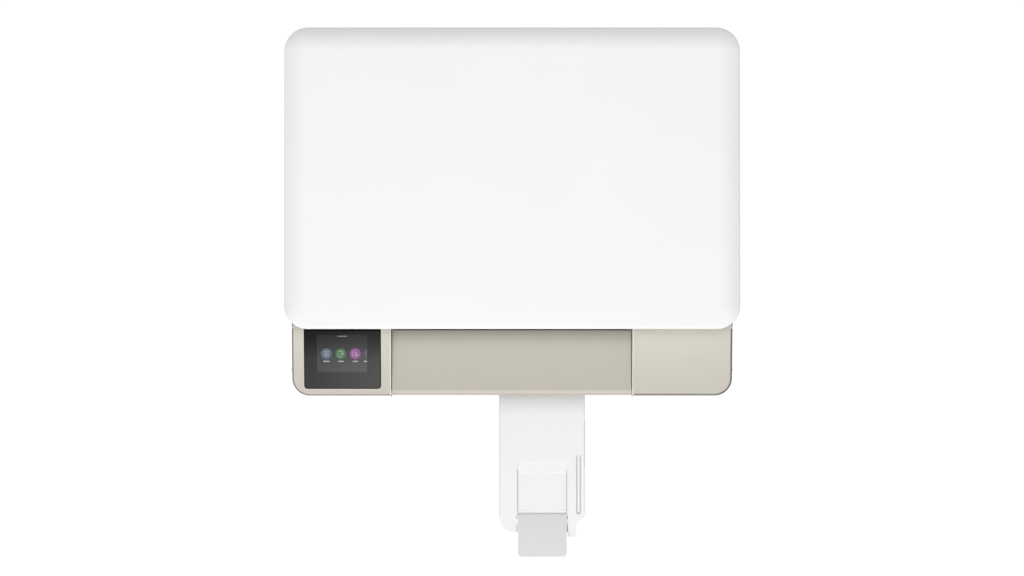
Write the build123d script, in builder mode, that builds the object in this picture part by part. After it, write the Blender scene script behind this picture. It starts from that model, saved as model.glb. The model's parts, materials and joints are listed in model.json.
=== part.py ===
from build123d import *
import math
import os

os.makedirs("parts", exist_ok=True)

# Home A4 all-in-one inkjet printer. +X right, +Y rear, +Z up, the front faces -Y.
# The origin is under the middle of the printer with its output tray pulled out, on the table.

# ---- driving dimensions, mm ----
lid_half_width = 230
lid_front = -36
lid_rear = 268
lid_bottom = 153
lid_top = 178
lid_depth_inside = 20
lid_corner = 24
body_half_width = 225.2
body_front = -105
body_rear = 268
body_corner = 18
body_rear_corner = 12
foot_height = 4
base_top = 68
casing_top = 140
deck_front_height = 133
deck_rear = -33
wall = 3
bay_half_width = 122
bay_rear = -34
cheek = 2.6
door_left = -123.5
door_right = 122.4
door_hinge_y = -44
door_hinge_z = 122.5
glass_left = -212.8
glass_right = -134.4
glass_rear = -34.5
glass_front = -97.7
plate_bottom = 49.5
plate_top = 54
plate_left = -13.7
plate_right = 77.1
flap_hinge_y = -236.4
flap_hinge_z = 52.2
flap_left = 6.1
flap_right = 57.8
flap_length = 45.2
flap_barrel = 1.5
flap_thickness = 2
flap_corner = 4.3
flap_tilt = 20
running_gap = 0.1
feed_y = 75
roller_z = 62
exit_y = -38
rod_y = 54
rod_z = 92
belt_y = 66
pulley_x = 190
tub_bottom = 118
scan_rod_y = 125
scan_rod_z = 126
lid_pin_y = 264
lid_pin_z = 153
cover_pin_y = 264
cover_pin_z = 26
cover_rear = 279
cover_half_opening = 113
cover_top_opening = 100
door_thickness = 2.6
door_pin = 1.5
apron_bottom = 98
lid_hinge_x = 152
lid_pin = 2.0
display_x = -174
display_y = -61.6
display_width = 51.2
display_height = 38.6
feed_bar = 4
sleeve_radius = 6
pinch_radius = 4
exit_radius = 5
star_radius = 4.5
nip = 0.4
rod_radius = 4
screw_radius = 3
button_z = 50

screw_places = [(-200, 92), (200, 92), (-132, 118), (132, 118)]
button_places = {"wireless_button": 180, "power_button": 200}
sleeve_places = [-98, -70, -42, -14, 14, 42, 70, 98]
pinch_z = roller_z + sleeve_radius + pinch_radius + nip
star_z = roller_z + exit_radius + star_radius + nip

deck_tilt = math.degrees(math.atan2(casing_top - deck_front_height, deck_rear - body_front))
deck = Plane(
    origin=(0, deck_rear, casing_top),
    x_dir=(1, 0, 0),
    z_dir=(0, -math.sin(math.radians(deck_tilt)), math.cos(math.radians(deck_tilt))),
)


def along_deck(y):
    """Distance on the sloping deck from its rear edge to the place above y."""
    return (y - deck_rear) / math.cos(math.radians(deck_tilt))


glass_corner = 3
glass_middle = ((glass_left + glass_right) / 2, (along_deck(glass_rear) + along_deck(glass_front)) / 2)
glass_size = (glass_right - glass_left, along_deck(glass_rear) - along_deck(glass_front))


def block(x0, x1, y0, y1, z0, z1, mode=Mode.ADD):
    """A box given by its low and high corners."""
    with Locations(((x0 + x1) / 2, (y0 + y1) / 2, (z0 + z1) / 2)):
        Box(x1 - x0, y1 - y0, z1 - z0, mode=mode)


def rod_x(x0, x1, y, z, radius, mode=Mode.ADD):
    """A round bar along X."""
    with Locations(Location(((x0 + x1) / 2, y, z), (0, 90, 0))):
        Cylinder(radius, x1 - x0, mode=mode)


def rod_z_axis(x, y, z0, z1, radius, mode=Mode.ADD):
    """A round bar along Z."""
    with Locations((x, y, (z0 + z1) / 2)):
        Cylinder(radius, z1 - z0, mode=mode)


def rod_y_axis(x, y0, y1, z, radius, mode=Mode.ADD):
    """A round bar along Y."""
    with Locations(Location((x, (y0 + y1) / 2, z), (90, 0, 0))):
        Cylinder(radius, y1 - y0, mode=mode)


def rounded_outline(half_width, front, rear, front_radius, rear_radius):
    """A plan outline with rounded front and rear corners, as a face on XY."""
    with BuildSketch() as outline:
        with Locations((0, (front + rear) / 2)):
            Rectangle(2 * half_width, rear - front)
        fillet(outline.vertices().group_by(Axis.Y)[0], front_radius)
        fillet(outline.vertices().group_by(Axis.Y)[-1], rear_radius)
    return outline.sketch


def keep(piece, name):
    """Label a finished piece and write it out."""
    piece.part.label = name
    export_step(piece.part, f"parts/{name}.step")


# ---- casings ----
with BuildPart() as base_shell:
    with BuildSketch(Plane.XY.offset(foot_height)):
        add(rounded_outline(body_half_width, body_front, body_rear, body_corner, body_rear_corner))
    extrude(amount=base_top - foot_height)
    with BuildSketch(Plane.XY.offset(foot_height + wall)):
        add(
            rounded_outline(
                body_half_width - wall,
                body_front + wall,
                body_rear - wall,
                body_corner - wall,
                body_rear_corner - wall,
            )
        )
    extrude(amount=base_top, mode=Mode.SUBTRACT)
    for side in (-1, 1):
        inner = sorted((side * bay_half_width, side * (bay_half_width + cheek)))
        block(*inner, body_front + 0.5, bay_rear, foot_height + 1, base_top)
    block(
        -bay_half_width, bay_half_width, body_front - 5, body_front + 10, foot_height + wall, base_top + 9,
        mode=Mode.SUBTRACT,
    )
    # opening for the rear cover
    block(-cover_half_opening, cover_half_opening, 250, 300, 19, base_top + 9, mode=Mode.SUBTRACT)
    for side in (-1, 1):
        block(*sorted((side * cover_half_opening, side * 118)), 258, 266, 20, 32)
    rod_x(-115.2, 115.2, cover_pin_y, cover_pin_z, 1.5 + running_gap, mode=Mode.SUBTRACT)
    # power inlet and USB holes in the rear wall
    block(-195, -163, 250, 300, 14, 40, mode=Mode.SUBTRACT)
    block(150, 164, 250, 300, 20, 32, mode=Mode.SUBTRACT)
    # button holes in the rear wall
    for x in button_places.values():
        rod_y_axis(x, 255, 290, button_z, 5.3, mode=Mode.SUBTRACT)
    # lined finger grips in both sides
    for side in (-1, 1):
        block(*sorted((side * 209, side * 224)), 5, 95, 9, 29)
        block(*sorted((side * 212, side * 240)), 8, 92, 12, 26, mode=Mode.SUBTRACT)
keep(base_shell, "base_shell")

with BuildPart() as upper_casing:
    with BuildSketch(Plane.XY.offset(base_top)):
        add(rounded_outline(body_half_width, body_front, body_rear, body_corner, body_rear_corner))
    extrude(amount=casing_top - base_top)
    # the deck slopes down towards the front
    below_deck_front = casing_top - (deck_rear - body_front + 5) * math.tan(math.radians(deck_tilt))
    with BuildSketch(Plane.YZ.offset(-body_half_width - 5)):
        with BuildLine():
            Polyline(
                (deck_rear, casing_top),
                (body_front - 5, below_deck_front),
                (body_front - 5, casing_top + 10),
                (deck_rear, casing_top + 10),
                close=True,
            )
        make_face()
    extrude(amount=2 * body_half_width + 10, mode=Mode.SUBTRACT)
    # the deck's outer edge is softened
    upper_edges = upper_casing.edges().filter_by(lambda e: e.center().Z > base_top + 20)
    fillet(upper_edges.filter_by(lambda e: e.center().Y < deck_rear - 1), 1.5)
    # rear cavity, open above for the scanner tub
    with BuildSketch(Plane.XY.offset(base_top - 1)):
        add(rounded_outline(body_half_width - wall, bay_rear, body_rear - wall, 1, body_rear_corner - wall))
    extrude(amount=casing_top - wall - base_top + 1, mode=Mode.SUBTRACT)
    block(-209, 209, bay_rear + 6, 258, base_top, casing_top + 1, mode=Mode.SUBTRACT)
    # hollow cheeks under the screen and under the right panel
    inner_height = deck_front_height - 4
    for side in (-1, 1):
        span = sorted((side * (bay_half_width + 1.5 + cheek), side * 223))
        block(*span, body_front + 16, bay_rear + 1, base_top - 1, inner_height, mode=Mode.SUBTRACT)
    # the bay between the cheeks, closed above by the access door
    block(
        door_left - 0.6, door_right + 0.6, body_front - 5, bay_rear + 1, base_top - 1, casing_top + 5,
        mode=Mode.SUBTRACT,
    )
    # recess for the touch glass
    with BuildSketch(deck):
        with Locations(glass_middle):
            RectangleRounded(glass_size[0] + 0.6, glass_size[1] + 0.6, glass_corner + 0.3)
    extrude(amount=-2.4, mode=Mode.SUBTRACT)
    # rear opening for the rear cover
    block(
        -cover_half_opening, cover_half_opening, 250, 300, base_top - 1, cover_top_opening,
        mode=Mode.SUBTRACT,
    )
    # screw holes in the rear wall
    for x, z in screw_places:
        rod_y_axis(x, 255, 275, z, screw_radius, mode=Mode.SUBTRACT)
    # holes for the door pins
    rod_x(
        door_left - 4, door_right + 4, door_hinge_y, door_hinge_z, door_pin + running_gap,
        mode=Mode.SUBTRACT,
    )
keep(upper_casing, "upper_casing")

with BuildPart() as scanner_base:
    with BuildSketch(Plane.XY.offset(casing_top)):
        add(rounded_outline(226, -32, 258, 20, 8))
    extrude(amount=12)
    block(-206, 206, -20, 254, tub_bottom, casing_top + 1)
    # tub for the scan bar
    block(-202, 202, -16, 250, tub_bottom + wall, 149, mode=Mode.SUBTRACT)
    # window for the glass, with a ledge
    block(-156, 156, 9, 231, 148, 155, mode=Mode.SUBTRACT)
    block(-160, 160, 5, 235, 150, 155, mode=Mode.SUBTRACT)
keep(scanner_base, "scanner_base")

with BuildPart() as scanner_glass:
    block(-159.7, 159.7, 5.3, 234.7, 150, 152)
    fillet(scanner_glass.edges().filter_by(Axis.Z), 1)
keep(scanner_glass, "scanner_glass")

# ---- lid ----
with BuildPart() as lid:
    with BuildSketch(Plane.XY.offset(lid_bottom)):
        add(rounded_outline(lid_half_width, lid_front, lid_rear, lid_corner, lid_corner))
    extrude(amount=lid_top - lid_bottom)
    fillet(lid.faces().sort_by(Axis.Z)[-1].edges(), 9)
    with BuildSketch(Plane.XY.offset(lid_bottom)):
        add(
            rounded_outline(
                lid_half_width - wall, lid_front + wall, lid_rear - wall, lid_corner - wall, lid_corner - wall
            )
        )
    extrude(amount=lid_depth_inside, mode=Mode.SUBTRACT)
    # clearance for the hinge brackets, and the lugs on the pins
    for x in (-lid_hinge_x, lid_hinge_x):
        block(x - 13.6, x + 13.6, 262, 272, lid_bottom - 1, 158, mode=Mode.SUBTRACT)
        for lug in (x - 16, x + 16):
            block(lug - 2.5, lug + 2.5, 260.4, 267, lid_pin_z, 166)
            rod_x(lug - 2.5, lug + 2.5, lid_pin_y, lid_pin_z, 3.6)
            rod_x(lug - 3, lug + 3, lid_pin_y, lid_pin_z, lid_pin + running_gap, mode=Mode.SUBTRACT)
keep(lid, "lid")

with BuildPart() as lid_inner_panel:
    with BuildSketch(Plane.XY.offset(156)):
        add(rounded_outline(lid_half_width - wall - 0.5, lid_front + wall + 0.5, 252, 21, 4))
    extrude(amount=2)
    # stiffening ribs between the panel and the lid's skin
    for x in (-180, -90, 0, 90, 180):
        block(x - 1, x + 1, -20, 240, 158, 172.5)
keep(lid_inner_panel, "lid_inner_panel")

with BuildPart() as lid_pad:
    block(-158, 158, 7, 233, 152.5, 156)
    fillet(lid_pad.edges().filter_by(Axis.Z), 4)
keep(lid_pad, "lid_pad")

# brackets on the scanner base, each with its riveted pin
with BuildPart() as lid_hinges:
    for x in (-lid_hinge_x, lid_hinge_x):
        block(x - 13, x + 13, 258, 262, casing_top, 155)
        rod_x(x - 13, x + 13, lid_pin_y, lid_pin_z, 3.6)
        block(x - 13, x + 13, 262, 264, casing_top, 153)
        rod_x(x - 19, x + 19, lid_pin_y, lid_pin_z, lid_pin)
keep(lid_hinges, "lid_hinges")

# ---- access door: a scooped shell with a front apron ----
scoop_rear = (-38, 127.6)
scoop_mid = (-72, 126.2)
scoop_front = (-100.6, 131)
with BuildPart() as access_door:
    with BuildSketch(Plane.YZ.offset(door_left)):
        with BuildLine():
            top = ThreePointArc(scoop_rear, scoop_mid, scoop_front)
            lip = Line(top @ 1, (-103.2, deck_front_height - 0.4))
            nose = Line(lip @ 1, (body_front + 0.5, deck_front_height - 1.8))
            front_down = Line(nose @ 1, (body_front + 0.5, apron_bottom))
            Polyline(
                front_down @ 1,
                (body_front + 0.5 + door_thickness, apron_bottom),
                (body_front + 0.5 + door_thickness, 127.6),
            )
            ThreePointArc(
                (body_front + 0.5 + door_thickness, 127.6),
                (scoop_mid[0], scoop_mid[1] - door_thickness),
                (scoop_rear[0], scoop_rear[1] - door_thickness),
            )
            Line((scoop_rear[0], scoop_rear[1] - door_thickness), top @ 0)
        make_face()
    extrude(amount=door_right - door_left)
    # hinge ears under the rear edge, with stub pins that snap into the casing's cheeks
    for x in (door_left + 2.5, door_right - 2.5):
        rod_x(x - 2.2, x + 2.2, door_hinge_y, door_hinge_z, 3.4)
        block(x - 2.2, x + 2.2, door_hinge_y - 2.4, door_hinge_y + 2.4, door_hinge_z, door_hinge_z + 3.4)
    rod_x(door_left - 2.6, door_left + 1, door_hinge_y, door_hinge_z, door_pin)
    rod_x(door_right - 1, door_right + 2.6, door_hinge_y, door_hinge_z, door_pin)
keep(access_door, "access_door")

# ---- touch screen ----
with BuildPart() as touch_glass:
    with BuildSketch(deck.offset(-1.2)):
        with Locations(glass_middle):
            RectangleRounded(*glass_size, glass_corner)
    extrude(amount=1.4)
keep(touch_glass, "touch_glass")

with BuildPart() as display_panel:
    with BuildSketch(deck.offset(-2.4)):
        with Locations((display_x, along_deck(display_y))):
            Rectangle(display_width, display_height)
    extrude(amount=1.2)
keep(display_panel, "display_panel")

# ---- output tray, its extender and the paper stop ----
with BuildPart() as output_tray:
    block(-121, 121, -104, 135, 46, 49)
    # rails that hold the extender's edges
    for rail_in, rail_out, lip in (
        (plate_left - 0.5, plate_left - 4, plate_left + 1.8),
        (plate_right + 1.2, plate_right + 4.7, plate_right - 1.2),
    ):
        block(*sorted((rail_in, rail_out)), -98, 135, 49, 56)
        block(*sorted((lip, rail_out)), -98, 135, plate_top + 0.4, 56)
    # low ribs that carry the paper beside the extender
    for x in (-110, -85, -60, -35, 100):
        block(x - 1, x + 1, -100, 60, 49, 52)
keep(output_tray, "output_tray")

arm_front = -254.6
arm_corner = 15
notch_left = 4.7
strip_front = -259.4
strip_left = 59
strip_right = 68.4
chamfer_start = -236.5
chamfer_end = -248.2
plate_rear = -20
pocket_left = 5.1
pocket_right = 58.5
pocket_rear = -180
pocket_ramp_end = -191.5
pocket_floor = 50.5
pocket_corner = 6
notch_rear = -234.4
bump_rear = -240.4
bump_front = -246.3
# the pocket that takes the folded stop: round rear corners and a ramp
with BuildPart() as pocket:
    with BuildSketch(Plane.XY.offset(pocket_floor)) as pocket_plan:
        with BuildLine():
            Polyline(
                (pocket_left, pocket_rear),
                (pocket_left, notch_rear - 1),
                (pocket_right, notch_rear - 1),
                (pocket_right, pocket_rear),
                close=True,
            )
        make_face()
        fillet(pocket_plan.vertices().group_by(Axis.Y)[-1], pocket_corner)
    extrude(amount=plate_top - pocket_floor + 2)
    with BuildSketch(Plane.YZ.offset(pocket_left - 1)):
        with BuildLine():
            Polyline(
                (notch_rear - 2, pocket_floor),
                (pocket_ramp_end, pocket_floor),
                (pocket_rear, plate_top),
                (pocket_rear, plate_top + 2),
                (notch_rear - 2, plate_top + 2),
                close=True,
            )
        make_face()
    extrude(amount=pocket_right - pocket_left + 2, mode=Mode.INTERSECT)

with BuildPart() as tray_extender:
    with BuildSketch(Plane.XY.offset(plate_bottom)):
        with BuildLine():
            Line((notch_left, arm_front), (plate_left + arm_corner, arm_front))
            RadiusArc((plate_left + arm_corner, arm_front), (plate_left, arm_front + arm_corner), arm_corner)
            Polyline(
                (plate_left, arm_front + arm_corner),
                (plate_left, plate_rear),
                (plate_right, plate_rear),
                (plate_right, chamfer_start),
            )
            Spline(
                (plate_right, chamfer_start),
                ((plate_right + strip_right) / 2, (chamfer_start + chamfer_end) / 2 + 0.8),
                (strip_right, chamfer_end),
                tangents=((0, -1), (0, -1)),
            )
            Polyline(
                (strip_right, chamfer_end),
                (strip_right, strip_front),
                (strip_left, strip_front),
                (strip_left, notch_rear),
                (notch_left, notch_rear),
                (notch_left, arm_front),
            )
        make_face()
    extrude(amount=plate_top - plate_bottom)
    # slim rib on the right edge
    block(plate_right - 1, plate_right + 0.8, -185, -136, plate_bottom + 0.5, plate_top - 0.5)
    add(pocket.part, mode=Mode.SUBTRACT)
    # long thin groove beside the pocket
    with BuildSketch(Plane.XY.offset(plate_top)):
        with Locations((70.6, -203.7)):
            SlotOverall(63.4, 5, rotation=90)
    extrude(amount=-1.6, mode=Mode.SUBTRACT)
    # sockets in both arms for the paper stop's stub pins
    rod_x(
        notch_left - 3, strip_left + 3, flap_hinge_y, flap_hinge_z, 1 + running_gap, mode=Mode.SUBTRACT
    )
    # low bumps on the arms beside the paper stop
    for x0, x1 in ((notch_left - 0.5, notch_left + 0.9), (strip_left - 0.7, strip_left + 0.5)):
        block(x0, x1, bump_front, bump_rear, plate_bottom + 0.5, plate_top - 0.3)
    # stop dogs that keep the extender from leaving its rails
    block(-12, -4, -30, -22, plate_top - 0.1, plate_top + 0.3)
keep(tray_extender, "tray_extender")

flap_plane = Plane(
    origin=((flap_left + flap_right) / 2, flap_hinge_y, flap_hinge_z),
    x_dir=(1, 0, 0),
    z_dir=(0, math.sin(math.radians(flap_tilt)), math.cos(math.radians(flap_tilt))),
)
with BuildPart() as paper_stop:
    with BuildSketch(flap_plane.offset(flap_barrel)):
        with Locations((0, -flap_length / 2)):
            Rectangle(flap_right - flap_left, flap_length)
    extrude(amount=-flap_thickness)
    fillet(
        paper_stop.edges().filter_by(lambda e: abs(e.length - flap_thickness) < 0.01).group_by(Axis.Y)[0],
        flap_corner,
    )
    rod_x(flap_left, flap_right, flap_hinge_y, flap_hinge_z, flap_barrel)
    rod_x(notch_left - 2.5, strip_left + 2.5, flap_hinge_y, flap_hinge_z, 1)
keep(paper_stop, "paper_stop")

# ---- main paper tray with its guides, and the photo tray ----
tray_half = 110
tray_rear = 215
with BuildPart() as paper_tray:
    block(-tray_half, tray_half, -102, tray_rear, 7.5, 30)
    block(-tray_half + 2.5, tray_half - 2.5, -98, tray_rear - 2.5, 10, 31, mode=Mode.SUBTRACT)
    block(-60, 60, tray_rear - 4, tray_rear + 1, 20, 31, mode=Mode.SUBTRACT)
    # front panel with a finger grip under it
    block(-120, 120, body_front + 0.5, -101, 7.5, 30)
    block(-30, 30, -110, -103, 7, 14, mode=Mode.SUBTRACT)
    rod_z_axis(0, 73, 9, 12, 2)
keep(paper_tray, "paper_tray")

guide_arm_z = (10.4, 12.2)
with BuildPart() as width_guide_left:
    block(-106, -103, 20, 120, 10.4, 26)
    block(-103, 8, 61, 65.5, *guide_arm_z)
keep(width_guide_left, "width_guide_left")

with BuildPart() as width_guide_right:
    block(103, 106, 20, 120, 10.4, 26)
    block(-8, 103, 80.5, 85, *guide_arm_z)
keep(width_guide_right, "width_guide_right")

with BuildPart() as guide_pinion:
    rod_z_axis(0, 73, 10.4, 12.4, 7)
    rod_z_axis(0, 73, 10, 13, 2 + running_gap, mode=Mode.SUBTRACT)
keep(guide_pinion, "guide_pinion")

with BuildPart() as length_guide:
    block(-15, 15, 203, 206, 10.4, 26)
    block(-12, 12, 190, 203, 10.4, 12)
keep(length_guide, "length_guide")

with BuildPart() as photo_tray:
    block(-107, 107, -102, 75, 32, 44.5)
    block(-52, 52, -98, 56, 33.6, 46, mode=Mode.SUBTRACT)
    for side in (-1, 1):
        block(*sorted((side * 55, side * 104)), -98, 72, 33.6, 46, mode=Mode.SUBTRACT)
    for side in (-1, 1):
        block(*sorted((side * 106, side * 111.5)), -98, 75, 36.2, 38.2)
    block(-120, 120, body_front + 0.5, -101, 31, 45)
    block(-30, 30, -110, -103, 31, 35, mode=Mode.SUBTRACT)
keep(photo_tray, "photo_tray")

with BuildPart() as tray_guides:
    for side in (-1, 1):
        block(*sorted((side * 112.2, side * 115)), -95, 215, 7, 46)
        block(*sorted((side * 108.5, side * 112.2)), -95, 90, 33, 36)
keep(tray_guides, "tray_guides")

# ---- chassis, rollers and the paper path ----
gear_module = 1.0
gear_slack = 0.15
feed_teeth = 40
idler_teeth = 28
pinion_teeth = 14
idler_z = 50
idler_reach = gear_module * (feed_teeth + idler_teeth) / 2 + gear_slack
idler_y = feed_y - math.sqrt(idler_reach**2 - (roller_z - idler_z) ** 2)
idler_angle = math.atan2(idler_z - roller_z, idler_y - feed_y)
pinion_y = feed_y + gear_module * (feed_teeth + pinion_teeth) / 2 + gear_slack
pick_pivot_y = 150
pick_pivot_z = 56
plate_x = 125.5
plate_thickness = 1.5
with BuildPart() as chassis_frame:
    for side in (-1, 1):
        block(*sorted((side * plate_x, side * (plate_x + plate_thickness))), -30, 245, 7, 70)
        rod_x(
            *sorted((side * (plate_x - 1), side * (plate_x + 3))),
            feed_y,
            roller_z,
            feed_bar + running_gap,
            mode=Mode.SUBTRACT,
        )
        # feet folded outwards
        block(*sorted((side * plate_x, side * (plate_x + 9))), 0, 20, 7, 8.5)
        block(*sorted((side * plate_x, side * (plate_x + 9))), 210, 230, 7, 8.5)
    # end brackets of the carriage rail
    for side in (-1, 1):
        block(*sorted((side * 205, side * 208)), 44, 84, 7, 115)
        rod_x(*sorted((side * 204, side * 209)), rod_y, rod_z, rod_radius, mode=Mode.SUBTRACT)
    # folded sheet rail behind the belt
    block(-208, 208, 82.4, 84, 84, 112)
    block(-208, 208, 77, 84, 110.4, 112)
    # tab and pin of the belt's idler pulley
    block(182, 198, 60, 78, 110.4, 112)
    rod_z_axis(pulley_x, belt_y, 96, 111, 1.5)
    # axle of the idler gear, riveted to the left plate
    rod_x(-146, -plate_x, idler_y, idler_z, 2.5)
    # crossbar that the pick-up arm swings on
    rod_x(-plate_x - 0.5, plate_x + 0.5, pick_pivot_y, pick_pivot_z, 3)
keep(chassis_frame, "chassis_frame")

with BuildPart() as feed_shaft:
    rod_x(-146, 134, feed_y, roller_z, feed_bar)
keep(feed_shaft, "feed_shaft")

with BuildPart() as feed_sleeves:
    for x in sleeve_places:
        rod_x(x - 9, x + 9, feed_y, roller_z, sleeve_radius)
    rod_x(-140, 140, feed_y, roller_z, feed_bar, mode=Mode.SUBTRACT)
keep(feed_sleeves, "feed_sleeves")


def gear_x(x0, x1, y, z, teeth, phase=0.0):
    """A simple spur gear about an X axis, with trapezoid teeth of the common module."""
    root = gear_module * (teeth / 2 - 1.15)
    tip = gear_module * (teeth / 2 + 0.75)
    step = 2 * math.pi / teeth
    points = []
    for tooth in range(teeth):
        middle = tooth * step + phase
        for radius, share in ((root, -0.29), (tip, -0.1), (tip, 0.1), (root, 0.29)):
            angle = middle + share * step
            points.append((y + radius * math.cos(angle), z + radius * math.sin(angle)))
    with BuildSketch(Plane.YZ.offset(x0)) as profile:
        with BuildLine():
            Polyline(*points, close=True)
        make_face()
    extrude(profile.sketch, amount=x1 - x0)


with BuildPart() as feed_gear:
    gear_x(-143, -137, feed_y, roller_z, feed_teeth, idler_angle)
    rod_x(-144, -136, feed_y, roller_z, feed_bar, mode=Mode.SUBTRACT)
keep(feed_gear, "feed_gear")

with BuildPart() as idler_gear:
    gear_x(-143, -137, idler_y, idler_z, idler_teeth, idler_angle + math.pi + math.pi / idler_teeth)
    rod_x(-144, -136, idler_y, idler_z, 2.5 + running_gap, mode=Mode.SUBTRACT)
keep(idler_gear, "idler_gear")

with BuildPart() as feed_motor:
    rod_x(-172, -146, pinion_y, roller_z, 17)
    rod_x(-146, -144.5, pinion_y, roller_z, 5)
    rod_x(-146, -144.5, pinion_y, roller_z, 1.5 + running_gap, mode=Mode.SUBTRACT)
keep(feed_motor, "feed_motor")

feed_step = 2 * math.pi / feed_teeth
tooth_lag = (-idler_angle) % feed_step
pinion_phase = math.pi + tooth_lag * feed_teeth / pinion_teeth + math.pi / pinion_teeth
with BuildPart() as feed_pinion:
    gear_x(-143, -137, pinion_y, roller_z, pinion_teeth, pinion_phase)
    rod_x(-144.3, -137, pinion_y, roller_z, 1.5)
keep(feed_pinion, "feed_pinion")

with BuildPart() as pinch_rollers:
    rod_x(-112, 112, feed_y, pinch_z, 1.5)
    for x in (-84, -28, 28, 84):
        rod_x(x - 14, x + 14, feed_y, pinch_z, pinch_radius)
keep(pinch_rollers, "pinch_rollers")

with BuildPart() as pinch_holder:
    for x in (-114.5, -56, 0, 56, 114.5):
        block(x - 2, x + 2, feed_y - 3, feed_y + 3, 69.5, 82)
    block(-125.5, 125.5, feed_y - 3, feed_y + 3, 78, 80)
    for side in (-1, 1):
        block(*sorted((side * 118, side * 125.5)), feed_y - 3, feed_y + 3, 67, 80)
    rod_x(-117, 117, feed_y, pinch_z, 1.5 + running_gap, mode=Mode.SUBTRACT)
keep(pinch_holder, "pinch_holder")

with BuildPart() as platen:
    block(-118, 118, -26, 60, 57.5, 62)
    for index in range(16):
        x = -112.5 + index * 15
        block(x - 1, x + 1, -24, 58, 62, 67)
    block(-125.5, 125.5, -20, 50, 57.5, 60)
keep(platen, "platen")

with BuildPart() as exit_roller:
    rod_x(-121, 121, exit_y, roller_z, 3)
    for x in sleeve_places:
        rod_x(x - 6, x + 6, exit_y, roller_z, exit_radius)
keep(exit_roller, "exit_roller")

with BuildPart() as star_wheels:
    rod_x(-112, 112, exit_y, star_z, 1)
    for x in sleeve_places:
        with BuildSketch(Plane.YZ.offset(x - 0.4)) as star:
            with Locations((exit_y, star_z)):
                RegularPolygon(star_radius, 12)
        extrude(star.sketch, amount=0.8)
keep(star_wheels, "star_wheels")

with BuildPart() as exit_bearing_frame:
    for side in (-1, 1):
        block(*sorted((side * 116, side * 118)), exit_y - 6, exit_y + 6, 49, 82)
        rod_x(*sorted((side * 115, side * 119)), exit_y, roller_z, 3 + running_gap, mode=Mode.SUBTRACT)
    block(-118, 118, exit_y - 5, exit_y + 5, 78, 81)
    for x in (-114.5, -56, 0, 56, 114.5):
        block(x - 1.4, x + 1.4, exit_y - 3, exit_y + 3, 69, 79)
    rod_x(-115.9, 115.9, exit_y, star_z, 1 + running_gap, mode=Mode.SUBTRACT)
keep(exit_bearing_frame, "exit_bearing_frame")

# ---- print carriage and its drive; it is parked at the right ----
carriage_bottom = 74
with BuildPart() as print_carriage:
    block(100, 190, -24, 46, carriage_bottom, 100)
    block(102.5, 142, -21.5, 43.5, 77, 101, mode=Mode.SUBTRACT)
    block(143.6, 187.5, -21.5, 43.5, 77, 101, mode=Mode.SUBTRACT)
    # windows for the nozzle plates
    block(110, 134, -8, 26, 70, 78, mode=Mode.SUBTRACT)
    block(152, 179, -8, 26, 70, 78, mode=Mode.SUBTRACT)
    # bearing for the guide rod and clamp for the belt
    block(110, 178, 45.5, 60, 85.5, 98.5)
    block(135, 155, 50, 58.5, 98, 106)
    rod_x(105, 185, rod_y, rod_z, rod_radius + running_gap, mode=Mode.SUBTRACT)
keep(print_carriage, "print_carriage")

for name, x0, x1 in (("black_cartridge", 103.5, 141), ("colour_cartridge", 144.6, 186.5)):
    with BuildPart() as cartridge:
        block(x0, x1, -20.5, 42.5, 78, 106)
        fillet(cartridge.edges().filter_by(Axis.Z), 2)
        # nozzle head, and a finger tab on the front
        block(x0 + 8, x1 - 8, -6, 24, 75.2, 78)
        block(x0 + 10, x1 - 10, -23, -20.5, 101, 106)
    keep(cartridge, name)

with BuildPart() as carriage_rod:
    rod_x(-208, 208, rod_y, rod_z, rod_radius)
keep(carriage_rod, "carriage_rod")

belt_inner = 6
with BuildPart() as carriage_belt:
    with BuildSketch(Plane.XY.offset(100)):
        with Locations((0, belt_y)):
            SlotCenterToCenter(2 * pulley_x, 2 * belt_inner + 2)
            SlotCenterToCenter(2 * pulley_x, 2 * belt_inner, mode=Mode.SUBTRACT)
    extrude(amount=6)
keep(carriage_belt, "carriage_belt")

for name, x, bore in (("motor_pulley", -pulley_x, 0), ("idler_pulley", pulley_x, 1.5 + running_gap)):
    with BuildPart() as pulley:
        rod_z_axis(x, belt_y, 98.6, 107.4, belt_inner - 0.4)
        rod_z_axis(x, belt_y, 98.6, 99.4, 8)
        rod_z_axis(x, belt_y, 106.6, 107.4, 8)
        if bore:
            rod_z_axis(x, belt_y, 98, 108, bore, mode=Mode.SUBTRACT)
        else:
            rod_z_axis(x, belt_y, 80, 99, 1.5)
    keep(pulley, name)

with BuildPart() as carriage_motor:
    rod_z_axis(-pulley_x, belt_y, 58, 84, 14)
    rod_z_axis(-pulley_x, belt_y, 79.5, 85, 1.5 + running_gap, mode=Mode.SUBTRACT)
    block(-205, -175, belt_y - 6, belt_y + 6, 56, 58)
    block(-205, -203, belt_y - 6, belt_y + 6, 56, 84)
keep(carriage_motor, "carriage_motor")

# ---- scan bar under the glass; it waits at the left ----
with BuildPart() as scan_bar:
    block(-196, -178, 6, 234, 131, 147)
    block(-194, -180, 12, 228, 146, 148, mode=Mode.SUBTRACT)
    block(-200, -174, scan_rod_y - 8, scan_rod_y + 8, 122, 131)
    rod_x(-201, -173, scan_rod_y, scan_rod_z, 2.5 + running_gap, mode=Mode.SUBTRACT)
    for y in (10, 230):
        rod_x(-190, -184, y, 147.2, 1)
keep(scan_bar, "scan_bar")

with BuildPart() as scan_rod:
    rod_x(-202, 202, scan_rod_y, scan_rod_z, 2.5)
keep(scan_rod, "scan_rod")

scan_belt_y = scan_rod_y + 18
with BuildPart() as scan_motor:
    rod_z_axis(192, scan_belt_y, 121, 136, 8)
    rod_z_axis(192, scan_belt_y, 132, 137, 1 + running_gap, mode=Mode.SUBTRACT)
keep(scan_motor, "scan_motor")

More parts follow.
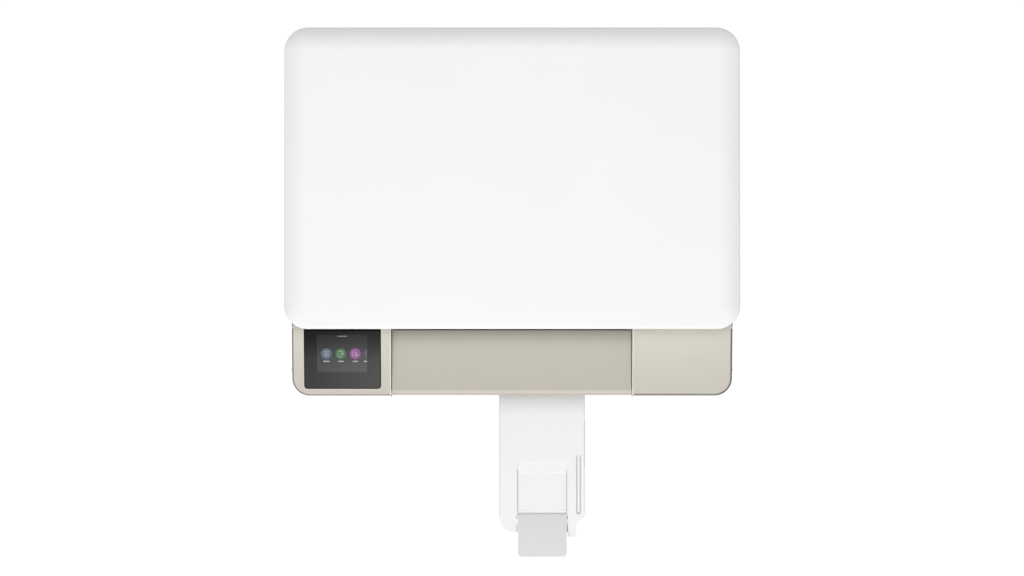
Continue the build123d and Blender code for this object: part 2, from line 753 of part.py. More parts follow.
with BuildPart() as scan_pulley:
    rod_z_axis(192, scan_belt_y, 137, 142, 5)
    rod_z_axis(192, scan_belt_y, 132.5, 138, 1)
keep(scan_pulley, "scan_pulley")

# ---- pick-up arm and roller, rear paper turn, rear cover ----
pick_roller_y = 190
pick_roller_z = 38
with BuildPart() as pick_arm:
    rod_x(-14, 14, pick_pivot_y, pick_pivot_z, 6)
    for side in (-1, 1):
        with BuildSketch(Plane.YZ.offset(min(side * 11, side * 14))) as cheek_plate:
            middle = ((pick_pivot_y + pick_roller_y) / 2, (pick_pivot_z + pick_roller_z) / 2)
            reach = math.hypot(pick_roller_y - pick_pivot_y, pick_roller_z - pick_pivot_z)
            lean = math.degrees(math.atan2(pick_roller_z - pick_pivot_z, pick_roller_y - pick_pivot_y))
            with Locations(middle):
                SlotCenterToCenter(reach, 9, rotation=lean)
        extrude(cheek_plate.sketch, amount=3)
    block(-12, 12, 163, 167, 47, 51)
    rod_x(-15, 15, pick_pivot_y, pick_pivot_z, 3 + running_gap, mode=Mode.SUBTRACT)
    rod_x(-15, 15, pick_roller_y, pick_roller_z, 2 + running_gap, mode=Mode.SUBTRACT)
keep(pick_arm, "pick_arm")

with BuildPart() as pick_roller:
    rod_x(-9.5, 9.5, pick_roller_y, pick_roller_z, 9)
    rod_x(-13.5, 13.5, pick_roller_y, pick_roller_z, 2)
keep(pick_roller, "pick_roller")

with BuildPart() as turn_guide:
    block(-plate_x, plate_x, 220, 226, 46, 66)
    rod_x(-112, 112, 226, 56, 10)
    block(-113, 113, 210, 220, 40, 70, mode=Mode.SUBTRACT)
keep(turn_guide, "turn_guide")

with BuildPart() as rear_cover:
    with BuildSketch(Plane.YZ.offset(-112.3)):
        with BuildLine():
            Polyline(
                (262, 23),
                (268, 22.5),
                (cover_rear, 36),
                (cover_rear, 79),
                (cover_rear - 5.5, 99.3),
                (262, 99.3),
                close=True,
            )
        make_face()
    extrude(amount=224.6)
    # hollow from the inside
    block(-109, 109, 255, cover_rear - wall, 38, 77, mode=Mode.SUBTRACT)
    block(-109, 109, 255, cover_rear - 8.5, 76, 96, mode=Mode.SUBTRACT)
    # ribs that turn the paper upwards
    for index in range(9):
        x = -100 + index * 25
        block(x - 1, x + 1, 247, cover_rear - 2, 42, 77)
    rod_x(-115, 115, cover_pin_y, cover_pin_z, 1.5)
keep(rear_cover, "rear_cover")

# ---- service station under the parked carriage ----
with BuildPart() as service_station:
    block(137, 199, -26, 44, 9, 60)
    block(139.5, 196.5, -23.5, 41.5, 12, 61, mode=Mode.SUBTRACT)
    for x in (138.2, 197.8):
        block(x - 1.2, x + 1.2, -24, 42, 60, 62)
keep(service_station, "service_station")

cap_places = [151.5, 179.5]
with BuildPart() as service_sled:
    block(141, 195, -8, 40, 44, 64)
    block(144, 192, -5, 37, 50, 65, mode=Mode.SUBTRACT)
    # one cap under each nozzle head, and a wiper blade behind
    for x in cap_places:
        block(x - 9, x + 9, -4, 26, 50, 70)
        block(x - 7, x + 7, -2, 24, 66, 71, mode=Mode.SUBTRACT)
    block(150, 186, 31, 32.5, 49, 72)
keep(service_sled, "service_sled")

# ---- power and electronics ----
with BuildPart() as power_supply:
    block(-216, -138, 124, 238, 9, 54)
    fillet(power_supply.edges().filter_by(Axis.Z), 3)
keep(power_supply, "power_supply")

with BuildPart() as power_inlet:
    block(-194.5, -163.5, 246, 268, 14.5, 39.5)
    block(-190, -168, 250, 270, 19, 35, mode=Mode.SUBTRACT)
    for x in (-185, -179, -173):
        block(x - 0.8, x + 0.8, 249, 262, 25, 29)
keep(power_inlet, "power_inlet")

board_chips = [(170, 150, 24, 2), (195, 190, 14, 1.6), (150, 205, 12, 1.6), (200, 130, 10, 8)]
with BuildPart() as main_board:
    block(136, 216, 100, 240, 12, 13.6)
    for x, y, size, height in board_chips:
        block(x - size / 2, x + size / 2, y - size / 2, y + size / 2, 13.6, 13.6 + height)
    for x, y in ((140, 104), (212, 104), (140, 236), (212, 236)):
        rod_z_axis(x, y, 7, 12, 3)
keep(main_board, "main_board")

with BuildPart() as usb_port:
    block(150.5, 163.5, 248, 268, 20.5, 31.5)
    block(152, 162, 252, 270, 21.8, 30.2, mode=Mode.SUBTRACT)
    block(154.5, 159.5, 251, 264, 25, 27)
keep(usb_port, "usb_port")

for name, x in button_places.items():
    with BuildPart() as button:
        rod_y_axis(x, 262, 269.6, button_z, 5)
        rod_y_axis(x, 260.4, 263, button_z, 6.8)
        fillet(button.faces().sort_by(Axis.Y)[-1].edges(), 0.8)
    keep(button, name)

with BuildPart() as casing_screws:
    for x, z in screw_places:
        rod_y_axis(x, 262, 268.3, z, screw_radius)
        block(x - 2, x + 2, 267.6, 269, z - 0.4, z + 0.4, mode=Mode.SUBTRACT)
        block(x - 0.4, x + 0.4, 267.6, 269, z - 2, z + 2, mode=Mode.SUBTRACT)
keep(casing_screws, "casing_screws")

with BuildPart() as rubber_feet:
    for x in (-195, 195):
        for y in (-85, 82, 240):
            rod_z_axis(x, y, 0, foot_height, 9)
    chamfer(rubber_feet.faces().group_by(Axis.Z)[0].edges(), 0.8)
keep(rubber_feet, "rubber_feet")
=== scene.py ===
import json
import math

import bmesh
import bpy
from mathutils import Matrix, Vector


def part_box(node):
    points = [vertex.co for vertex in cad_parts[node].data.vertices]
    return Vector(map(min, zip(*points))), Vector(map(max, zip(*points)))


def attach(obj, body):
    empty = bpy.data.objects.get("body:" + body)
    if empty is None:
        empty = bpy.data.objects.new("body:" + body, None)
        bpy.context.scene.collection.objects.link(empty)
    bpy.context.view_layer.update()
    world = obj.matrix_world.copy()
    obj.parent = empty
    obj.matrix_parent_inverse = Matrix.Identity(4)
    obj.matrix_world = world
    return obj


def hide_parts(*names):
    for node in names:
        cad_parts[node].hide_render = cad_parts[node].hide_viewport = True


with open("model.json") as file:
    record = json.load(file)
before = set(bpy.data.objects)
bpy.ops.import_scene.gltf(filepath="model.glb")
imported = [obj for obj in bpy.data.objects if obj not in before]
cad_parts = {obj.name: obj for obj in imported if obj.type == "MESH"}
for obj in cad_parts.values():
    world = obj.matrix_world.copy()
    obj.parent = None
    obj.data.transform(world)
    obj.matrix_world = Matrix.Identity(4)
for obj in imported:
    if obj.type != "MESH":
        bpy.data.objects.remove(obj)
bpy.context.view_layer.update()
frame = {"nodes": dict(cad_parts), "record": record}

# Lengths are in millimetres unless a comment says metres. x runs to the right, y to the rear, z up.
nodes = frame["nodes"]
MM = 0.001
SIDES = (("left", -1), ("right", 1))
slot_of = {row["node"]: row["material_slot"] for row in frame["record"]["subparts"]}
body_of = {node: body for body, members in frame["record"]["behaviour"]["bodies"].items() for node in members}

# the deck falls 7 mm over its 72 mm depth, from its rear end under the lid's front edge
deck_tilt = math.atan2(7, 72)
deck_rear_y, deck_rear_z = -33.0, 140.0
# half the casing's width, which is also the x of its right side
casing_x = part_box("upper_casing")[1].x / MM


# ---------------------------------------------------------------- shader helpers
def new_material(name):
    """A node material, with its tree, its Principled shader and object coordinates in metres."""
    material = bpy.data.materials.new(name)
    material.use_nodes = True
    tree = material.node_tree
    place = tree.nodes.new("ShaderNodeTexCoord").outputs["Object"]
    return material, tree, tree.nodes["Principled BSDF"], place


def noise(tree, coordinates, scale, detail=3.0, roughness=0.5):
    """A noise texture in object space; scale is in features per metre."""
    texture = tree.nodes.new("ShaderNodeTexNoise")
    texture.inputs["Scale"].default_value = scale
    texture.inputs["Detail"].default_value = detail
    texture.inputs["Roughness"].default_value = roughness
    tree.links.new(coordinates, texture.inputs["Vector"])
    return texture.outputs["Fac"]


def mapped(tree, value, start, end, low=0.0, high=1.0):
    """Map the range start to end of a value to the range low to high."""
    mapping = tree.nodes.new("ShaderNodeMapRange")
    for name, number in (("From Min", start), ("From Max", end), ("To Min", low), ("To Max", high)):
        mapping.inputs[name].default_value = number
    tree.links.new(value, mapping.inputs["Value"])
    return mapping.outputs["Result"]


def spread(tree, texture, low, high):
    """Map the middle half of a noise texture, where most of it lies, to the range low to high."""
    return mapped(tree, texture, 0.25, 0.75, low, high)


def ramp(tree, value, stops, blend="LINEAR"):
    """A colour ramp through stops (position from 0 to 1, colour)."""
    node = tree.nodes.new("ShaderNodeValToRGB")
    node.color_ramp.interpolation = blend
    elements = node.color_ramp.elements
    while len(elements) < len(stops):
        elements.new(0.5)
    for element, (position, colour) in zip(elements, stops):
        element.position = position
        element.color = (*colour, 1)
    tree.links.new(value, node.inputs["Fac"])
    return node.outputs["Color"]


def split_xyz(tree, place):
    """The x, y and z of a place."""
    split = tree.nodes.new("ShaderNodeSeparateXYZ")
    tree.links.new(place, split.inputs["Vector"])
    return split.outputs["X"], split.outputs["Y"], split.outputs["Z"]


def front_to_rear(tree, y_place, stops, blend="LINEAR"):
    """A colour that follows stops (y in metres, colour) from front to rear."""
    start, end = stops[0][0], stops[-1][0]
    positions = [((y - start) / (end - start), colour) for y, colour in stops]
    return ramp(tree, mapped(tree, y_place, start, end), positions, blend)


def paint(tree, shader, texture, dark, light):
    """A base colour that wanders between dark and light with a texture."""
    colour = ramp(tree, texture, [(0.3, dark), (0.7, light)])
    tree.links.new(colour, shader.inputs["Base Color"])
    return colour


def dulled(tree, shader, texture, low, high):
    """A roughness that wanders between low and high with a texture."""
    tree.links.new(spread(tree, texture, low, high), shader.inputs["Roughness"])


def bumped(tree, shader, height, strength, distance):
    """Feed a height to the shader's normal; distance is in metres."""
    bump = tree.nodes.new("ShaderNodeBump")
    bump.inputs["Strength"].default_value = strength
    bump.inputs["Distance"].default_value = distance
    tree.links.new(height, bump.inputs["Height"])
    tree.links.new(bump.outputs["Normal"], shader.inputs["Normal"])


def grained(tree, shader, place, rough, grain=2200.0, bump=0.12):
    """The fine spark-eroded grain of a moulding, in its gloss and its normal."""
    fine = noise(tree, place, grain, 2.0, 0.6)
    dulled(tree, shader, fine, rough - 0.05, rough + 0.06)
    bumped(tree, shader, fine, bump, 0.00006)


def shade(colour, share):
    """The same colour, darker or lighter."""
    return tuple(min(1.0, c * share) for c in colour)


# ---------------------------------------------------------------- materials
def moulded(name, colour, rough=0.45, grain=2200.0, bump=0.12, variation=0.02):
    """Moulded plastic with a fine grain and slightly uneven colour and gloss."""
    material, tree, shader, place = new_material(name)
    cloudy = noise(tree, place, 9.0, 4.0)
    paint(tree, shader, cloudy, shade(colour, 1 - variation), shade(colour, 1 + variation))
    grained(tree, shader, place, rough, grain, bump)
    return material


def painted_light_plastic(name, colour, tones, hollow=None, blend="B_SPLINE"):
    """Moulded plastic with painted light and shade: its tone follows stops (y in metres, share of the colour)
    from front to rear.

    hollow gives the z of a pocket's floor and of the top face in metres, and the share of the tone
    that is left on the floor and on the slopes between them, as painted shade in the hollow.
    """
    material, tree, shader, place = new_material(name)
    _, y_place, z_place = split_xyz(tree, place)
    base = front_to_rear(tree, y_place, [(y, shade(colour, tone)) for y, tone in tones], blend)
    level = spread(tree, noise(tree, place, 9.0, 4.0), 0.99, 1.01)
    if hollow:
        floor_z, top_z, floor_share, slope_share = hollow
        shares = ((0.0, floor_share), (0.08, slope_share), (0.9, slope_share), (1.0, 1.0))
        depth = mapped(tree, z_place, floor_z, top_z)
        steps = ramp(tree, depth, [(position, (share,) * 3) for position, share in shares])
        product = tree.nodes.new("ShaderNodeMath")
        product.operation = "MULTIPLY"
        tree.links.new(level, product.inputs[0])
        tree.links.new(steps, product.inputs[1])
        level = product.outputs["Value"]
    # the painted tones, scaled by the random level and by the hollow's painted shade
    uneven = tree.nodes.new("ShaderNodeVectorMath")
    uneven.operation = "SCALE"
    tree.links.new(base, uneven.inputs[0])
    tree.links.new(level, uneven.inputs["Scale"])
    tree.links.new(uneven.outputs["Vector"], shader.inputs["Base Color"])
    grained(tree, shader, place, 0.5)
    return material


def gloss(name, colour, rough, coat=0.6):
    """Coated glass, with faint wipe marks in its roughness."""
    material, tree, shader, place = new_material(name)
    wipes = noise(tree, place, 30.0, 5.0, 0.65)
    paint(tree, shader, wipes, shade(colour, 0.94), shade(colour, 1.06))
    dulled(tree, shader, wipes, rough, rough + 0.05)
    shader.inputs["Coat Weight"].default_value = coat
    shader.inputs["Coat Roughness"].default_value = 0.04
    return material


def painted_reflection_glass(name, tones, across=(-1.0, 1.0), gain=0.0, lift=0.0, rough=0.1, shine=0.35):
    """Dark glass with a painted reflection of the room, a soft gradient in its colour, and faint wipe marks.

    tones are stops (y in metres, grey level) from front to rear. From the first x of across to the
    second, in metres, the painted reflection rises by the share gain and by the amount lift.
    """
    material, tree, shader, place = new_material(name)
    x_place, y_place, _ = split_xyz(tree, place)
    base = front_to_rear(tree, y_place, [(y, (level, level, level * 1.01)) for y, level in tones])
    tinted = tree.nodes.new("ShaderNodeVectorMath")
    tinted.operation = "MULTIPLY_ADD"
    tree.links.new(base, tinted.inputs[0])
    for number, (low, high) in enumerate(((1.0, 1.0 + gain), (0.0, lift)), start=1):
        tree.links.new(mapped(tree, x_place, *across, low, high), tinted.inputs[number])
    tree.links.new(tinted.outputs["Vector"], shader.inputs["Base Color"])
    dulled(tree, shader, noise(tree, place, 30.0, 5.0, 0.65), rough, rough + 0.04)
    shader.inputs["Specular IOR Level"].default_value = shine
    return material


def metal(name, colour, rough, along=(1, 0, 0)):
    """Drawn or rolled metal with fine lines along one direction."""
    material, tree, shader, place = new_material(name)
    stretch = tree.nodes.new("ShaderNodeMapping")
    stretch.inputs["Scale"].default_value = [0.04 if axis else 1.0 for axis in along]
    tree.links.new(place, stretch.inputs["Vector"])
    lines = noise(tree, stretch.outputs["Vector"], 1800.0, 3.0)
    paint(tree, shader, noise(tree, place, 25.0), shade(colour, 0.93), shade(colour, 1.05))
    dulled(tree, shader, lines, rough - 0.08, rough + 0.12)
    shader.inputs["Metallic"].default_value = 1.0
    bumped(tree, shader, lines, 0.08, 0.00003)
    return material


def rubbery(name, colour, rough=0.75):
    """Ground rubber: rough, with a coarse grain."""
    material, tree, shader, place = new_material(name)
    grit = noise(tree, place, 1500.0, 4.0, 0.7)
    paint(tree, shader, grit, shade(colour, 0.8), shade(colour, 1.25))
    dulled(tree, shader, grit, rough - 0.1, rough + 0.1)
    bumped(tree, shader, grit, 0.35, 0.0001)
    return material


def float_glass(name):
    """Clear platen glass with the green cast of its iron."""
    material, tree, shader, place = new_material(name)
    paint(tree, shader, noise(tree, place, 12.0), (0.86, 0.94, 0.91), (0.9, 0.97, 0.94))
    dulled(tree, shader, noise(tree, place, 40.0), 0.0, 0.03)
    shader.inputs["Transmission Weight"].default_value = 1.0
    shader.inputs["IOR"].default_value = 1.45
    return material


def board(name):
    """Solder-masked circuit board with faint copper tracks under the mask."""
    material, tree, shader, place = new_material(name)
    tracks = tree.nodes.new("ShaderNodeTexBrick")
    tracks.inputs["Scale"].default_value = 90.0
    tracks.inputs["Color1"].default_value = (0.02, 0.16, 0.06, 1)
    tracks.inputs["Color2"].default_value = (0.03, 0.2, 0.08, 1)
    tracks.inputs["Mortar"].default_value = (0.06, 0.3, 0.12, 1)
    tree.links.new(place, tracks.inputs["Vector"])
    tree.links.new(tracks.outputs["Color"], shader.inputs["Base Color"])
    dulled(tree, shader, noise(tree, place, 60.0), 0.3, 0.4)
    bumped(tree, shader, tracks.outputs["Fac"], 0.1, 0.0001)
    return material


def lit(name, colour, glow):
    """A piece that glows faintly, such as a lit part of the screen; on the sill under the paper stop the glow
    is painted light.
    """
    material, tree, shader, place = new_material(name)
    base = paint(tree, shader, noise(tree, place, 400.0), shade(colour, 0.96), shade(colour, 1.04))
    tree.links.new(base, shader.inputs["Emission Color"])
    shader.inputs["Emission Strength"].default_value = glow
    shader.inputs["Roughness"].default_value = 0.3
    return material


# painted light and shade on each moulding from front to rear: y in metres, share of the colour
# on the deck, painted shade at its front edge and under the lid's front edge
deck_painted_light = [
    (-0.108, 0.91), (-0.1, 0.92), (-0.078, 0.97), (-0.06, 1.02), (-0.048, 1.03), (-0.041, 1.01),
    (-0.035, 0.93),
]
# on the door, painted shade towards the lid and a painted highlight on its front lip
door_painted_light = [
    (-0.108, 0.95), (-0.1036, 1.05), (-0.1026, 1.5), (-0.1018, 1.65), (-0.0999, 1.47), (-0.0985, 1.13),
    (-0.092, 1.08), (-0.08, 1.04), (-0.06, 1.0), (-0.052, 0.93), (-0.047, 0.82), (-0.0403, 0.66),
    (-0.036, 0.6),
]
# on the extender, painted shade under the deck's front edge and a little painted light just in front of it
tray_painted_light = [
    (-0.26, 1.0), (-0.17, 1.01), (-0.14, 1.03), (-0.128, 1.045), (-0.12, 1.03), (-0.1135, 0.98),
    (-0.11, 0.9), (-0.1, 0.8),
]
# painted reflection in the dark glass, from front to rear: y in metres, grey level
glass_painted_reflection = [
    (-0.1, 0.039), (-0.084, 0.0385), (-0.0688, 0.0335), (-0.0534, 0.0137), (-0.0442, 0.004), (-0.036, 0.003),
]
display_painted_reflection = [
    (-0.085, 0.074), (-0.077, 0.072), (-0.065, 0.062), (-0.0534, 0.036), (-0.047, 0.0235), (-0.04, 0.018),
]
rim_tones = [(-0.1, 0.001), (0.0, 0.0015)]

white = moulded("white_moulding", (0.86, 0.86, 0.855), 0.5, variation=0.006)
beige = painted_light_plastic("beige_moulding", (0.565, 0.535, 0.468), deck_painted_light)
# the hollow's shares put painted shade on the slopes of the extender's pocket and groove
tray_white = painted_light_plastic("tray_moulding", (0.81, 0.812, 0.805), tray_painted_light, (0.0505, 0.054, 1.0, 0.9))
# painted shade for the deck's outer edges, its shoulders and the gaps beside the paper stop, and the dark
# parting lines
painted_shade_and_joint = moulded("painted_shade_and_joint", (0.16, 0.153, 0.135), 0.5)
# painted shade on the extender's side edges
painted_edge_shade = moulded("painted_edge_shade", (0.5, 0.505, 0.5), 0.5)
# painted highlights on moulded edges
painted_edge_highlight = moulded("painted_edge_highlight", (0.74, 0.71, 0.635), 0.45)
# painted shade on the walls of the groove and the pocket
painted_groove_shade = moulded("painted_groove_shade", (0.42, 0.425, 0.42), 0.5)
# a painted glow on the pocket's floor just behind the paper stop's barrel, over the barrel's shadow
sill_painted_glow = lit("sill_painted_glow", (0.88, 0.88, 0.875), 0.17)
# painted reflection in the display, lighter towards the front and the right
display_face = painted_reflection_glass("display_face", display_painted_reflection, (-0.1957, -0.1527), 0.35)
rim_black = painted_reflection_glass("rim_black", rim_tones, rough=0.4, shine=0.05)
# a painted highlight on the edge of the touch glass's recess
bezel_painted_highlight = moulded("bezel_painted_highlight", (0.6, 0.57, 0.5), 0.4)
bar_grey = lit("bar_grey", (0.17, 0.19, 0.19), 0.03)
glyph_white = lit("glyph_white", (0.33, 0.345, 0.33), 0.03)
label_grey = lit("label_grey", (0.36, 0.37, 0.36), 0.03)
icon_colours = {
    "blue": (0.08, 0.113, 0.172),
    "green": (0.044, 0.13, 0.044),
    "magenta": (0.245, 0.07, 0.245),
    "grey": (0.08, 0.073, 0.084),
}
by_slot = {
    "white_shell": white,
    "beige_deck": beige,
    "door_beige": painted_light_plastic("door_moulding", (0.478, 0.452, 0.392), door_painted_light, blend="LINEAR"),
    "stop_grey": moulded("stop_moulding", (0.79, 0.795, 0.79), 0.42),
    "inner_grey": moulded("inner_moulding", (0.055, 0.056, 0.06), 0.5),
    "black_plastic": moulded("black_moulding", (0.02, 0.02, 0.022), 0.4),
    "gear_white": moulded("acetal", (0.72, 0.70, 0.64), 0.35),
    "foam_pad": moulded("pad_film", (0.82, 0.82, 0.81), 0.6, 900.0, 0.2),
    # the touch glass carries a painted reflection, lighter towards the front and the right
    "screen_glass": painted_reflection_glass("screen_painted_reflection", glass_painted_reflection, (-0.207, -0.1415), 0.62, 0.007),
    "display": gloss("display_gloss", (0.05, 0.05, 0.056), 0.2),
    "sheet_steel": metal("zinc_sheet", (0.55, 0.56, 0.57), 0.38),
    "bright_steel": metal("ground_bar", (0.72, 0.72, 0.73), 0.16),
    "port_metal": metal("nickel_shell", (0.66, 0.65, 0.62), 0.25, (0, 1, 0)),
    "feed_rubber": rubbery("feed_rubber", (0.04, 0.04, 0.042)),
    "foot_rubber": rubbery("foot_rubber", (0.025, 0.025, 0.026)),
    "clear_glass": float_glass("platen_glass"),
    "circuit_green": board("circuit_board"),
}


# ---------------------------------------------------------------- mesh helpers
def link(name, mesh):
    """A new object in the scene."""
    piece = bpy.data.objects.new(name, mesh)
    bpy.context.scene.collection.objects.link(piece)
    return piece


def dress(piece, body, slot, material):
    """Give a piece its material and body."""
    piece.data.materials.clear()
    piece.data.materials.append(material)
    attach(piece, body)


def mesh_of(name, bm):
    """Close a bmesh into a mesh."""
    mesh = bpy.data.meshes.new(name)
    bm.to_mesh(mesh)
    bm.free()
    return mesh


def new_piece(name, bm, body, slot, material):
    """Close a bmesh into a dressed piece of the scene."""
    piece = link(name, mesh_of(name, bm))
    dress(piece, body, slot, material)
    return piece


def bridge(bm, one, two):
    """Faces between two rings of vertices."""
    for i in range(len(one)):
        j = (i + 1) % len(one)
        bm.faces.new((one[i], one[j], two[j], two[i]))


def solid_box(bm, x0, x1, y0, y1, z0, z1):
    """A closed box."""
    centre = Vector(((x0 + x1) / 2, (y0 + y1) / 2, (z0 + z1) / 2)) * MM
    size = Matrix.Diagonal(((x1 - x0) * MM, (y1 - y0) * MM, (z1 - z0) * MM, 1))
    bmesh.ops.create_cube(bm, size=1.0, matrix=Matrix.Translation(centre) @ size)


def smooth_by_angle(bm, degrees):
    """Smooth faces, with edges over this angle kept sharp."""
    limit = math.radians(degrees)
    for face in bm.faces:
        face.smooth = True
    for edge in bm.edges:
        edge.smooth = not (len(edge.link_faces) == 2 and edge.calc_face_angle(0.0) > limit)


def rounded(x0, x1, y0, y1, radius, steps=8):
    """Outline of a rounded rectangle, counter-clockwise."""
    points = []
    corners = ((x1 - radius, y1 - radius, 0), (x0 + radius, y1 - radius, 90),
               (x0 + radius, y0 + radius, 180), (x1 - radius, y0 + radius, 270))
    for x, y, start in corners:
        for step in range(steps + 1):
            angle = math.radians(start + 90 * step / steps)
            points.append((x + radius * math.cos(angle), y + radius * math.sin(angle)))
    return points


def softened(node, width, segments, material=None, sharp=32.0):
    """A CAD node's shape with its moulded edges rounded by width.

    Edges over sharp degrees keep a crease in the shading.
    """
    rounded_over, same_place, same_plane = 32.0, 2e-6, 0.6
    mesh = nodes[node].data.copy()
    bm = bmesh.new()
    bm.from_mesh(mesh)
    bmesh.ops.remove_doubles(bm, verts=bm.verts, dist=same_place)
    bmesh.ops.dissolve_limit(
        bm, angle_limit=math.radians(same_plane), verts=bm.verts[:], edges=bm.edges[:],
        use_dissolve_boundaries=False,
    )
    smooth_by_angle(bm, sharp)
    bm.to_mesh(mesh)
    bm.free()
    piece = link(node + "_moulding", mesh)
    bevel = piece.modifiers.new("rounding", "BEVEL")
    bevel.width = width * MM
    bevel.segments = segments
    bevel.limit_method = "ANGLE"
    bevel.angle_limit = math.radians(rounded_over)
    bevel.harden_normals = True
    bevel.use_clamp_overlap = True
    dress(piece, body_of[node], slot_of[node], material or by_slot[slot_of[node]])
    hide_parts(node)


# ---------------------------------------------------------------- lid
hinge_x, hinge_y, hinge_z = 152.0, 264.0, 153.0  # the middle of each hinge bracket, and the pin's line
lid_ceiling = 166.0
lid_crease = 30  # degrees


def lid_ring(half_x, y0, y1, radius, z):
    """Points of the lid's rounded outline at height z."""
    return [Vector((x, y, z)) * MM for x, y in rounded(-half_x, half_x, y0, y1, radius, 14)]


def lid_rings():
    """The lid from its inner ceiling, over the lip and the outer wall, to the flat top.

    The top rolls off softly over a broad band at the rear and both sides.
    """
    low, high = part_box("lid")
    # the moulded rim is drawn in a little from the CAD outline
    half_x, y0, y1 = high.x / MM - 0.7, low.y / MM + 0.2, high.y / MM - 0.4
    rim_z, top_z = 153.0, high.z / MM
    corner, band, drop, edge_radius, roll_power = 24.0, 23.0, 6.0, 2.0, 2.1
    edge_steps, roll_steps = 6, 16
    slope = roll_power * drop / band
    flat_front, fade_length = 4.0, 34.0
    # distance in from the outline, and height: inner ceiling, inner wall, lip, foot of the outer wall
    section = ((7.0, lid_ceiling), (3.2, 165.5), (2.8, 163.0), (2.8, rim_z + 0.6), (2.3, rim_z + 0.1),
               (1.4, rim_z), (0.5, rim_z + 0.15), (0.1, rim_z + 0.6), (0.0, rim_z + 1.4))
    rings = [lid_ring(half_x - inset, y0 + inset, y1 - inset, corner - inset, z) for inset, z in section]
    outline = []
    outer = lid_ring(half_x, y0, y1, corner, 0)
    for point, inner in zip(outer, lid_ring(half_x - 1, y0 + 1, y1 - 1, corner - 1, 0)):
        # the roll-off fades out towards the front edge, which stays flat
        fade = min(max((point.y / MM - y0 - flat_front) / fade_length, 0.0), 1.0)
        outline.append((point, (inner - point) / MM, 0.1 + 0.9 * fade * fade * (3 - 2 * fade)))
    for step in range(edge_steps + 1):
        ring = []
        for point, inward, share in outline:
            angle = step / edge_steps * (math.pi / 2 - math.atan(slope * share))
            fall = drop * share + edge_radius * (1 - math.sin(angle))
            inset = edge_radius * (1 - math.cos(angle))
            ring.append(point + (inward * inset + Vector((0, 0, top_z - fall))) * MM)
        rings.append(ring)
    for step in range(1, roll_steps + 1):
        ring = []
        for point, inward, share in outline:
            angle = math.pi / 2 - math.atan(slope * share)
            first = edge_radius * (1 - math.cos(angle))
            inset = first + (band - first) * step / roll_steps
            height = drop * share + edge_radius * (1 - math.sin(angle))
            fall = height * (1 - step / roll_steps) ** roll_power
            ring.append(point + (inward * inset + Vector((0, 0, top_z - fall))) * MM)
        rings.append(ring)
    return rings


def lid_shell():
    """The lid's shell, with notches in its rear wall over the hinge brackets."""
    bm = bmesh.new()
    made = [[bm.verts.new(point) for point in ring] for ring in lid_rings()]
    for lower, upper in zip(made, made[1:]):
        bridge(bm, lower, upper)
    bm.faces.new(reversed(made[0]))
    bm.faces.new(made[-1])
    bmesh.ops.recalc_face_normals(bm, faces=bm.faces[:])
    smooth_by_angle(bm, lid_crease)
    piece = link("lid_shell", mesh_of("lid_shell", bm))
    notch_half = 13.6
    bm = bmesh.new()
    for x in (-hinge_x, hinge_x):
        solid_box(bm, x - notch_half, x + notch_half, hinge_y - 2, hinge_y + 8, hinge_z - 2, hinge_z + 5)
    cutter = link("lid_notch_cutter", mesh_of("lid_notches", bm))
    cut = piece.modifiers.new("notches", "BOOLEAN")
    cut.object = cutter
    cut.operation = "DIFFERENCE"
    cut.solver = "EXACT"
    bpy.context.view_layer.update()
    done = bpy.data.meshes.new_from_object(piece.evaluated_get(bpy.context.evaluated_depsgraph_get()))
    piece.modifiers.clear()
    piece.data = done
    bpy.data.objects.remove(cutter)
    dress(piece, "lid", "white_shell", white)
    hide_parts("lid")


def lid_hinge_lugs():
    """Two lugs at each hinge that hold the lid to the pin."""
    lug_half, lug_radius, lug_spread = 2.5, 3.6, 16
    bm = bmesh.new()
    for middle in (-hinge_x, hinge_x):
        for x in (middle - lug_spread, middle + lug_spread):
            y0, y1 = hinge_y - lug_radius, hinge_y + 1.4
            solid_box(bm, x - lug_half, x + lug_half, y0, y1, hinge_z, lid_ceiling)
            pin_place = Matrix.Translation(Vector((x, hinge_y, hinge_z)) * MM)
            bmesh.ops.create_cone(
                bm, cap_ends=True, segments=40, radius1=lug_radius * MM, radius2=lug_radius * MM,
                depth=2 * lug_half * MM, matrix=pin_place @ Matrix.Rotation(math.pi / 2, 4, "Y"),
            )
    smooth_by_angle(bm, lid_crease)
    new_piece("lid_hinge_lugs", bm, "lid", "white_shell", white)


lid_shell()
lid_hinge_lugs()

# ---------------------------------------------------------------- mouldings and plain CAD nodes
softened("upper_casing", 1.0, 4)
softened("base_shell", 0.8, 3)
softened("scanner_base", 0.8, 3)
softened("access_door", 0.5, 3)
softened("tray_extender", 0.45, 3, tray_white, 14.0)
softened("paper_stop", 0.35, 3)
softened("paper_tray", 0.4, 2)
softened("photo_tray", 0.4, 2)
softened("output_tray", 0.4, 2)
softened("rear_cover", 0.6, 3)
softened("touch_glass", 0.25, 2)
for name, node in nodes.items():
    if not node.hide_render:
        node.data.materials.clear()
        node.data.materials.append(by_slot[slot_of[name]])


# ---------------------------------------------------------------- extender details
def extender_box(name, material, x0, x1, y0, y1, z0, z1):
    """A small box that rides on the extender."""
    bm = bmesh.new()
    solid_box(bm, x0, x1, y0, y1, z0, z1)
    new_piece(name, bm, "extender", "white_shell", material)


